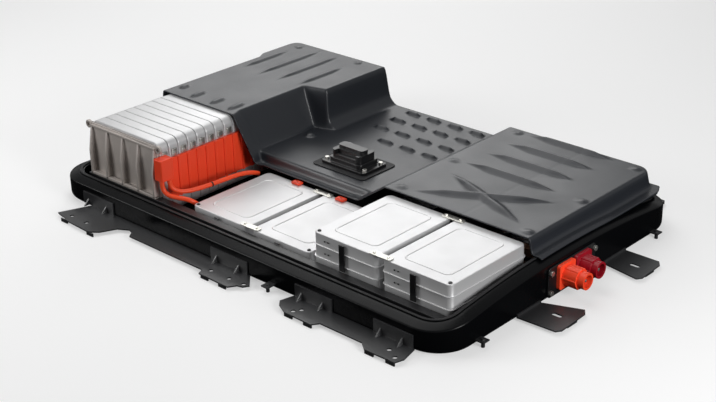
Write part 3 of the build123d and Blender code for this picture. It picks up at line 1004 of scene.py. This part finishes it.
    def knots(self, low: float, high: float, places: tuple, coarse: float) -> Array:
        """Grid lines that lie closer together near some places.

        Args:
            low: the first line.
            high: the last line.
            places: rows of (place, reach to each side, spacing there).
            coarse: spacing elsewhere.

        Returns:
            The lines, from the inverse of the summed density. The spacing grows by a third of the
            distance beyond each reach.
        """
        even = np.linspace(low, high, self.samples)
        centre, reach, fine = np.array(places).T[:, None, :]
        away = np.maximum(np.abs(even[:, None] - centre) - reach, 0)
        spacing = np.minimum(np.min(fine + away / 3, axis=1), coarse)
        total = np.cumsum(1 / spacing) * (even[1] - even[0])
        total -= total[0]
        return np.interp(np.linspace(0, total[-1], int(round(total[-1])) + 1), total, even)

    def clamped(self, x: Array, y: Array) -> tuple[Array, Array, Array]:
        """Moves points that lie off the sheet to its nearest edge.

        Args:
            x: positions along the pack.
            y: positions across it.

        Returns:
            The new positions and which points lay on the sheet.
        """
        centre = (self.rim.rear + self.rim.front) / 2
        half = np.array([(self.rim.front - self.rim.rear) / 2, self.rim.half]) - self.outer
        radius = self.rim.radius - self.outer
        core = half - radius
        offset = np.stack([x - centre, y], axis=-1)
        size = np.abs(offset)
        over = np.maximum(size - core, 0)
        length = np.linalg.norm(over, axis=-1, keepdims=True)
        scale = np.where(length > radius, radius / np.maximum(length, TINY), 1)
        kept = np.sign(offset) * (np.minimum(size, core) + over * scale)
        cut = np.interp(x, *zip(*self.cut))
        on = (length[..., 0] < radius - TINY) & (y > cut + TINY)
        return kept[..., 0] + centre, np.maximum(kept[..., 1], cut), on

    @staticmethod
    def sampled(heights: Array, i: Array, j: Array) -> Array:
        """Heights between the points of a lattice, by weighting the four round each place.

        Args:
            heights: the heights on the lattice.
            i: places along its first axis, in steps of the lattice.
            j: places along its second axis.

        Returns:
            The heights at the places.
        """
        i, j = (np.clip(place, 0, count - 1 - TINY)
                for place, count in zip((i, j), heights.shape))
        i0, j0 = i.astype(int), j.astype(int)
        fi, fj = i - i0, j - j0
        return ((1 - fi) * (1 - fj) * heights[i0, j0] + fi * (1 - fj) * heights[i0 + 1, j0]
                + (1 - fi) * fj * heights[i0, j0 + 1] + fi * fj * heights[i0 + 1, j0 + 1])

    def build(self) -> None:
        """Makes the cover's sheet."""
        ex = np.arange(*self.even_x, self.pitch)
        ey = np.arange(*self.even_y, self.pitch)
        gx, gy = np.meshgrid(ex, ey, indexing="ij")
        high = (self.blurred(self.walls(gx, gy), self.wall_blur)
                + self.blurred(self.pressings(gx, gy), self.pressing_blur))
        high = np.minimum(high, self.highest)
        kx = self.knots(*self.span_x, self.close_x, self.coarse_x)
        ky = self.knots(*self.span_y, self.close_y, self.coarse_y)
        x, y = np.meshgrid(kx, ky, indexing="ij")
        x, y, on = self.clamped(x, y)
        z = self.sampled(high, (x - ex[0]) / self.pitch, (y - ey[0]) / self.pitch)
        quads = lattice(len(kx), len(ky), False)
        quads = quads[on.reshape(-1)[quads].any(axis=1)]
        used, faces = np.unique(quads, return_inverse=True)
        points = np.stack([x, y, z], axis=-1).reshape(-1, 3)[used]
        patch = Patch(points, faces.reshape(-1, 4).tolist())
        piece = make_piece("cover_pressing", patch, COVER_BLACK, ("upper_cover",), self.sharp)
        sheet = piece.modifiers.new("gauge", "SOLIDIFY")
        sheet.thickness = self.gauge * MM
        sheet.offset = -1


# ---- cell modules ----
@dataclass
class CellCan:
    """One sealed can: a folded lip round its foot, plain sides and a pressed lid."""

    thick: float = 34.7
    margin: float = 24.0
    panel_corner: float = 18.0
    middle: float = 80.0
    middle_corner: float = 2.0

    def patch(self, length: float, width: float, corner: float, panel: bool) -> Patch:
        """The can lying flat, its foot at height 0.

        Args:
            length: along X.
            width: along Y.
            corner: its plan radius.
            panel: whether the lid has its pressed panel.

        Returns:
            The can. Its rows run over the folded lip, up the side, round the shoulder, and over
            the raised bead of the panel.
        """
        t, m, soft = self.thick, self.margin, self.panel_corner
        inner = corner - 2
        rows = [(30, 0.0, self.middle_corner), (3.4, 0.0, inner), (1.0, 0.5, inner),
                (0, 1.0, corner), (0, 2.2, corner), (0.4, 2.7, corner), (3.0, 2.9, inner),
                (3.3, 3.6, inner), (3.3, t - 3.0, inner), (3.7, t - 1.2, inner),
                (4.6, t - 0.3, inner), (6.2, t, inner), (7.0, t, inner)]
        lid = t
        if panel:
            lid = t - 0.1
            rows += [(m + 13.4, t, soft), (m + 14, t, soft), (m + 15.4, t + 1.3, soft),
                     (m + 16.6, t + 1.3, soft), (m + 18.4, lid, soft), (m + 19.2, lid, soft)]
        rows.append((self.middle, lid, self.middle_corner))
        return self.shell(length, width, rows)

    def shell(self, length: float, width: float, rows: list) -> Patch:
        """A stack of rounded rectangles joined into one shell.

        Args:
            length: along X.
            width: along Y.
            rows: the inset, height and corner radius of each, from the foot's middle outwards,
                up, and in to the lid's middle.

        Returns:
            The shell, with flat faces over both ends.
        """
        rings = []
        for inset, height, radius in rows:
            size = (length - 2 * inset, width - 2 * inset)
            plan = rounded_outline(*size, radius, CORNER_STEPS)[0]
            rings.append(np.column_stack([plan, np.full(len(plan), height)]))
        points = np.stack(rings, axis=1)
        return Patch(points.reshape(-1, 3), capped(*points.shape[:2]))

    def slim(self, length: float, width: float, corner: float) -> Patch:
        """The can without its lip, with deeply rounded edges, as in the upright stack.

        Args:
            length: along X.
            width: along Y.
            corner: its plan radius.

        Returns:
            The can.
        """
        t = self.thick
        half = [(60, 0.0, 2), (9.0, 0.0, corner - 5), (5.0, 0.2, corner - 3),
                (1.3, 1.1, corner - 1), (0.3, 2.2, corner), (0, 3.4, corner), (0, 3.8, corner)]
        rows = half + [(inset, t - height, radius) for inset, height, radius in reversed(half)]
        return self.shell(length, width, rows)


@dataclass
class FlatStacks:
    """Four flat stacks on each side of the tunnel."""

    can: CellCan = field(default_factory=CellCan)
    length: float = 303.0
    width: float = 227.0
    pitch: float = 35.0
    base: float = 10.0
    tunnel: float = 224.0
    rears: tuple[float, ...] = (-309.0, -71.0, 167.0, 405.0)
    counts: tuple[int, ...] = (2, 2, 4, 4)
    corner: float = 16.0
    sharp: float = 32.0
    screw_sharp: float = 30.0
    screw_inset: float = 15.0
    screw_sink: float = 0.4
    # Where the dark discs of painted shade sit in the vent holes of each can's end.
    vent_shade_offsets: tuple[float, ...] = (46.0, 58.0)
    vent_shade_height: float = 18.0
    vent_shade_sink: float = 1.2
    hood_rears: tuple[float, ...] = (-196.0, -22.0)
    hood_low: Triple = (0.0, -132.0, 0.6)
    hood_high: Triple = (30.0, -112.6, 7.0)

    def build(self) -> None:
        """Makes every stack, the lid screws and dark discs as painted shade in the small holes of
        the cans' ends.
        """
        for label, side in (("near", -1), ("far", 1)):
            for letter, rear, count in zip("abcd", self.rears, self.counts):
                x, y = rear + self.width / 2, side * (self.tunnel + self.length) / 2
                cans = [self.can.patch(self.width, self.length, self.corner, level == count - 1)
                        .moved([x, y, self.base + level * self.pitch]) for level in range(count)]
                make_piece(f"{label}_cans_{letter}", Patch.join(cans), MODULE_CAN,
                           (f"{label}_stack_{letter}",), self.sharp)
        self.screws()
        self.painted_vent_shade()
        self.hoods()

    def screws(self) -> None:
        """A small screw in each outer corner of the top lids."""
        inset = self.screw_inset
        places = []
        for side in (-1, 1):
            y = side * (self.tunnel / 2 + self.length - inset)
            for rear, count in zip(self.rears, self.counts):
                z = self.base + count * self.pitch - self.screw_sink
                places += [(rear + inset, y, z), (rear + self.width - inset, y, z)]
        profile = np.array([(5.2, 0.0), (5.2, 1.6), (4.2, 2.6), (2.6, 2.6), (1.8, 1.0)])
        make_piece("lid_screws", studs(np.array(places), profile, 12, (0, 0, 1)), RAIL_STEEL,
                   sharp=self.screw_sharp)

    def painted_vent_shade(self) -> None:
        """Two small dark discs near the rear of each can's outer end, as painted shade in its vent
        holes.
        """
        y = self.vent_shade_sink - (self.tunnel / 2 + self.length)
        places = [(rear + vent_shade_offset, y, self.base + level * self.pitch + self.vent_shade_height)
                  for rear, count in zip(self.rears, self.counts)
                  for level in range(count) for vent_shade_offset in self.vent_shade_offsets]
        profile = np.array([(2.4, -0.2), (2.4, 0.8), (1.6, 1.1), (1.2, 0.5)])
        make_piece("can_end_vent_shade", studs(np.array(places), profile, 10, (0, -1, 0)), BLACK_PLASTIC)

    def hoods(self) -> None:
        """Orange terminal hoods at the tunnel end of the two-layer stacks."""
        hood = brick(self.hood_low, self.hood_high, SMALL_EDGE)
        height = self.base + 2 * self.pitch
        hoods = [hood.moved([rear, 0, height]) for rear in self.hood_rears]
        make_piece("terminal_hoods", Patch.join(hoods), ORANGE)


@dataclass
class UprightStack:
    """Twenty-four cans on edge across the rear of the case."""

    can: CellCan = field(default_factory=CellCan)
    length: float = 303.0
    height: float = 223.0
    pitch: float = 35.0
    rear: float = -728.0
    base: float = 10.0
    count: int = 24
    open_count: int = 8
    corner: float = 24.0
    gap: float = 0.15
    sharp: float = 32.0
    tab_low: Triple = (-3.0, 8.0, 184.0)
    tab_high: Triple = (4.0, 27.0, 204.0)

    def build(self) -> None:
        """Makes the open and the covered cans."""
        lying = self.can.slim(self.length, self.height, self.corner)
        upright = lying.turned([[1, 0, 0], [0, 0, -1], [0, 1, 0]])
        half = self.count * self.pitch / 2
        x, z = self.rear + self.length / 2, self.base + self.height / 2
        cans = [upright.moved([x, (i + 1) * self.pitch - half - self.gap, z])
                for i in range(self.count)]
        for label, some in (("open", cans[:self.open_count]), ("covered", cans[self.open_count:])):
            make_piece(f"upright_cans_{label}", Patch.join(some), MODULE_CAN,
                       (f"rear_modules_{label}",), self.sharp)
        tab = brick(self.tab_low, self.tab_high, SMALL_EDGE)
        front = self.rear + self.length
        tabs = [tab.moved([front, i * self.pitch - half, 0]) for i in range(self.open_count)]
        make_piece("cell_tabs", Patch.join(tabs), BRIGHT_STEEL)


@dataclass
class EndPlates:
    """Ribbed castings that clamp the upright stack, deeper below their knee."""

    rear: float = -728.0
    front: float = -425.0
    inner: float = 420.3
    low: float = 70.0
    top: float = 227.0
    depth: float = 24.7
    web: float = 8.0
    rib: float = 7.0
    ribs: int = 5
    knee: float = 158.0
    bend: float = 14.0
    inset: float = 6.0
    lip: float = 4.0
    foot: float = 8.0
    edge: float = 2.0
    sharp: float = 30.0
    ear_height: float = 219.0

    def rib_at(self, x: float) -> Patch:
        """One rib: a flat five-sided plate whose outer edge slopes in above the knee.

        Args:
            x: its rear face.

        Returns:
            The rib, with depth along +Y from 0.
        """
        head = self.top - 2 * self.lip
        side = np.array([(0, self.low), (self.depth, self.low), (self.depth, self.knee - self.bend),
                         (self.depth - 2.5, self.knee), (self.web + 3, head), (0, head)])
        side = soften(side, SMALL_EDGE, 3, True)
        count = len(side)
        back = np.column_stack([np.full(count, x), side])
        ahead = back + [self.rib, 0, 0]
        faces = [[i, (i + 1) % count, count + (i + 1) % count, count + i] for i in range(count)]
        faces += [list(range(count - 1, -1, -1)), list(range(count, 2 * count))]
        return Patch(np.concatenate([back, ahead]), faces)

    def build(self) -> None:
        """Makes both plates."""
        x0, x1, lip = self.rear + self.inset, self.front - self.inset, self.lip
        parts = [brick((x0 - lip, 0, self.low), (x1 + lip, self.web, self.top), SMALL_EDGE),
                 brick((x0, 0, self.top - 3 * lip), (x1, self.web + self.inset, self.top - lip),
                       self.edge),
                 brick((x0, 0, self.low), (x1, self.depth, self.low + self.foot), self.edge)]
        step = (x1 - x0 - self.rib) / (self.ribs - 1)
        parts += [self.rib_at(x0 + i * step) for i in range(self.ribs)]
        ears = np.array([(x, SMALL_EDGE, self.ear_height)
                         for x in (self.rear - self.inset, self.front + self.inset)])
        ring = np.array([(11, 0), (12.2, 1), (12.2, 8), (11, 9), (5.6, 9), (5.2, 3), (0.3, 3)])
        parts.append(studs(ears, ring, 24, (0, 1, 0)))
        far = Patch.join(parts)
        near = far.turned([[-1, 0, 0], [0, -1, 0], [0, 0, 1]]).moved([self.rear + self.front, 0, 0])
        for label, plate, y in (("far", far, self.inner), ("near", near, -self.inner)):
            make_piece(f"{label}_end_casting", plate.moved([0, y, 0]), END_METAL,
                       (f"{label}_end_plate",), self.sharp)


@dataclass
class Leads:
    """The two orange power leads from the terminal cover, with a black tie."""

    radius: float = 6.8
    lower: tuple = ((-406, -434, 133), (-406, -435, 112), (-400, -432, 95), (-382, -426, 87),
                    (-356, -416, 86), (-334, -402, 84), (-322, -388, 72), (-318, -366, 52))
    upper: tuple = ((-394, -418, 133), (-393, -417, 114), (-386, -408, 99), (-372, -392, 92),
                    (-362, -362, 90), (-354, -322, 90), (-350, -278, 90), (-349, -230, 89),
                    (-348, -184, 86), (-347, -148, 78), (-346, -120, 66))
    tie: tuple = ((-351.6, -300.0, 90.0), (-351.4, -298.0, 90.0), (-351.2, -296.0, 90.0))
    tie_thick: float = 0.9

    def build(self) -> None:
        """Makes both leads and the tie."""
        for label, route in (("lower", self.lower), ("upper", self.upper)):
            make_piece(f"{label}_power_lead", hose(np.array(route), self.radius), LEAD_ORANGE,
                       (f"{label}_lead",))
        make_piece("lead_tie", hose(np.array(self.tie), self.radius + self.tie_thick),
                   BLACK_PLASTIC)


@dataclass
class Contacts:
    """The pin in the middle of each high-voltage socket."""

    height: float = 58.0
    sockets: tuple = ((743.0, -38.5), (733.0, 33.5))

    def build(self) -> None:
        """Makes both pins, each with a rounded tip."""
        places = np.array([(*socket, self.height) for socket in self.sockets])
        profile = np.array([(9, 0), (9, 3), (5, 3.5), (5, 15), (4.2, 17), (2.4, 18)])
        make_piece("socket_contacts", studs(places, profile, 20, (1, 0, 0)), BRIGHT_STEEL)


@dataclass
class Fittings:
    """The pieces whose CAD shape is kept, with rounded edges."""

    edges: tuple[tuple[Finish, float, tuple[str, ...]], ...] = (
        (RAIL_STEEL, 1.0, ("near_side_rail", "far_side_rail", "cross_rails")),
        (BLACK_PLASTIC, 0.8, ("near_terminal_strips", "far_terminal_strips")),
        (BRIGHT_STEEL, 0.6, ("near_tie_plates", "far_tie_plates", "plug_bolts", "connector_bolts")),
        (BRACKET_PAINT_AND_HIGHLIGHT, 0.9, ("near_rear_bracket", "far_rear_bracket", "near_front_bracket",
                              "far_front_bracket", "front_near_tongue", "front_far_tongue",
                              "locating_pins")),
        (ORANGE, 1.6, ("busbar_cover", "terminal_cover", "orange_connector")),
        (RED, 1.4, ("red_connector",)),
        (SEAL_RUBBER, 1.0, ("plug_seal",)),
        (BLACK_PLASTIC, 1.6, ("plug_base", "service_plug", "connector_plate", "junction_box",
                              "battery_controller")),
        (COPPER, 1.0, ("front_busbars",)))

    def build(self) -> None:
        """Refines every kept node."""
        for finish, edge, nodes in self.edges:
            for node in nodes:
                refined(node, finish, edge)


# ---- studio ----
WHITE = (1.0, 1.0, 1.0, 1.0)


@dataclass
class Studio:
    """Pale floor, soft lamps and the camera.

    Each lamp has its place and its two sides in metres, and its power in watts. The glow is how
    much of the floor shines by itself, and mirrored is how much of the world's white the
    reflections see.
    """

    place: Triple = (2.4936, -2.7003, 1.7484)
    azimuth: float = 43.37
    elevation: float = 24.96
    roll: float = -1.29
    lens: float = 70.99
    sensor: float = 36.0
    aim: Triple = (0.0, 0.0, 0.1)
    floor_half: float = 30.0
    floor_height: float = -0.0005
    floor_lit: Triple = (0.03, 0.03, 0.03)
    floor_seen: Triple = (0.95, 0.95, 0.95)
    glow: float = 0.45
    mirrored: float = 0.34
    dimmest: float = 0.11
    lamps: tuple = (((-1.0, 0.3, 2.8), (2.4, 2.4), 36.0), ((-2.3, 2.5, 1.9), (2.6, 1.3), 30.0),
                    ((-2.4, -2.4, 1.5), (1.4, 1.2), 44.0), ((3.2, -0.6, 1.2), (1.0, 1.2), 68.0))

    def build(self) -> None:
        """Makes the floor, the world, the lamps and the camera."""
        self.floor()
        self.world()
        for number, (where, size, power) in enumerate(self.lamps):
            self.lamp(f"softbox_{number}", where, size, power)
        self.camera()

    def floor(self) -> None:
        """A large white plane that keeps the shadow, brighter to the camera than it is lit."""
        mesh = bpy.data.meshes.new("floor")
        far, low = self.floor_half, self.floor_height
        mesh.from_pydata([(-far, -far, low), (far, -far, low), (far, far, low), (-far, far, low)],
                         [], [[0, 1, 2, 3]])
        floor = placed("floor", mesh)
        graph = Graph(bpy.data.materials.new("floor"))
        seen = graph.node("ShaderNodeLightPath", output="Is Camera Ray")
        matt = graph.node("ShaderNodeBsdfDiffuse", None,
                          {"Color": graph.blend(seen, self.floor_lit, self.floor_seen)})
        shine = graph.node("ShaderNodeEmission", None, {"Color": WHITE, "Strength": 1.0})
        graph.surface(graph.node("ShaderNodeMixShader", None,
                                 {0: seen * self.glow, 1: matt, 2: shine}))
        mesh.materials.append(graph.owner)

    def world(self) -> None:
        """White to the camera and in reflections, and softer as light on matt surfaces."""
        graph = Graph(bpy.data.worlds.new("studio"))
        seen = graph.node("ShaderNodeLightPath", output="Is Camera Ray")
        for kind, share in (("Is Glossy Ray", self.mirrored), ("Is Transmission Ray", 1.0)):
            ray = graph.node("ShaderNodeLightPath", output=kind)
            seen = graph.node("ShaderNodeMath", {"operation": "MULTIPLY_ADD", "use_clamp": True},
                              {0: ray, 1: share, 2: seen})
        strength = graph.node("ShaderNodeMapRange", None,
                              {"Value": seen, "To Min": self.dimmest, "To Max": 1.0})
        graph.surface(graph.node("ShaderNodeBackground", None,
                                 {"Color": WHITE, "Strength": strength}))
        bpy.context.scene.world = graph.owner

    def lamp(self, name: str, where: tuple, size: tuple, power: float) -> None:
        """A rectangular soft lamp that points at the object.

        Args:
            name: its name.
            where: its place in metres.
            size: its sides in metres.
            power: in watts.
        """
        data = bpy.data.lights.new(name, "AREA")
        data.shape = "RECTANGLE"
        data.size, data.size_y = size
        data.energy = power
        lamp = placed(name, data)
        lamp.location = where
        lamp.visible_camera = False
        toward = Vector(self.aim) - Vector(where)
        lamp.rotation_euler = toward.to_track_quat("-Z", "Y").to_euler()

    def camera(self) -> None:
        """The camera, from its azimuth, elevation and roll."""
        a, e, r = (math.radians(v) for v in (self.azimuth, self.elevation, self.roll))
        back = Vector((math.sin(a) * math.cos(e), -math.cos(a) * math.cos(e), math.sin(e)))
        level = Vector((math.cos(a), math.sin(a), 0))
        upright = back.cross(level)
        right = level * math.cos(r) + upright * math.sin(r)
        up = upright * math.cos(r) - level * math.sin(r)
        data = bpy.data.cameras.new("camera")
        data.sensor_width = self.sensor
        data.sensor_fit = "HORIZONTAL"
        data.lens = self.lens
        camera = placed("camera", data)
        turn = Matrix((right, up, back)).transposed().to_4x4()
        camera.matrix_world = Matrix.Translation(self.place) @ turn
        bpy.context.scene.camera = camera


def main() -> None:
    """Builds the pack and its studio."""
    logging.basicConfig(level=logging.INFO, format="%(name)s %(message)s")
    bpy.context.scene.view_settings.view_transform = "Standard"
    for part in (LowerCase(), PressedCover(), FlatStacks(), UprightStack(), EndPlates(), Leads(),
                 Contacts(), Fittings(), Studio()):
        part.build()
        LOG.info("%s built", type(part).__name__)


if __name__ == "__main__":
    main()
